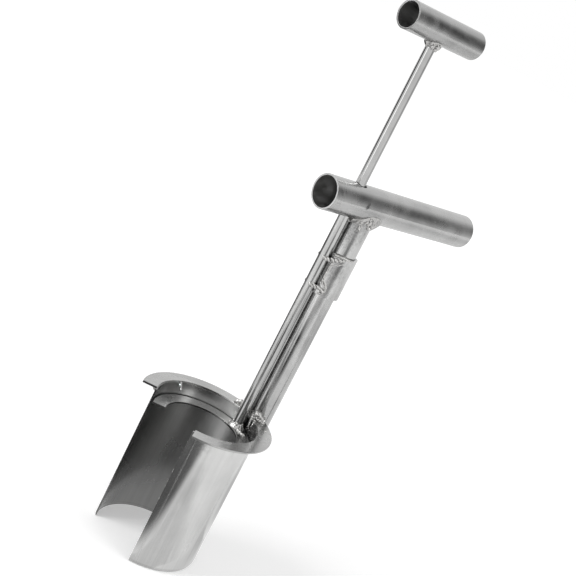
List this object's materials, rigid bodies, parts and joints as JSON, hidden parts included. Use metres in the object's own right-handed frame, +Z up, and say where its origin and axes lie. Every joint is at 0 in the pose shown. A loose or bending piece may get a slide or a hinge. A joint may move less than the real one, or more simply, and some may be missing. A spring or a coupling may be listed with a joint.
{
  "type": "barrel transplanter",
  "caption": "Hand-made steel transplanting tool: an open-fronted barrel with a foot plate, a T handle and a sliding plunger that ejects the plug of soil.",
  "frame": {"origin": "on the barrel's axis, in the plane of its cutting rim", "axes": "+Z runs up the tool along the barrel, the handle tube and the plunger; +Y runs from the barrel's axis to the handle tube, away from the open front; +X completes a right-handed frame"},
  "size_m": [0.128, 0.2473, 0.5408],
  "materials": {
    "polished_tube": "bright drawn stainless tube and bar, lightly scuffed",
    "rolled_sheet": "rolled stainless sheet, satin, with wear from soil inside",
    "cut_plate": "cut stainless plate with a ground edge",
    "weld_metal": "rippled stainless weld, wire brushed"
  },
  "bodies": {
    "frame": {"barrel": "rolled_sheet", "foot_plate": "cut_plate", "handle_tube": "polished_tube", "main_grip": "polished_tube", "stop_pin": "polished_tube", "rim_weld": "weld_metal", "foot_weld": "weld_metal", "seam_weld_left": "weld_metal", "seam_weld_right": "weld_metal", "neck_weld": "weld_metal", "stop_pin_weld": "weld_metal"},
    "plunger": {"plunger_rod": "polished_tube", "top_grip": "polished_tube", "guide_sleeve": "polished_tube", "ejector_plate": "cut_plate", "sleeve_weld_upper": "weld_metal", "sleeve_weld_lower": "weld_metal", "rod_foot_weld": "weld_metal", "rod_top_weld": "weld_metal"}
  },
  "joints": [
    {"name": "plunger_slide", "type": "slide", "parent": "frame", "child": "plunger", "axis": [0, 0, 1], "range_m": [-0.125, 0.006]}
  ]
}
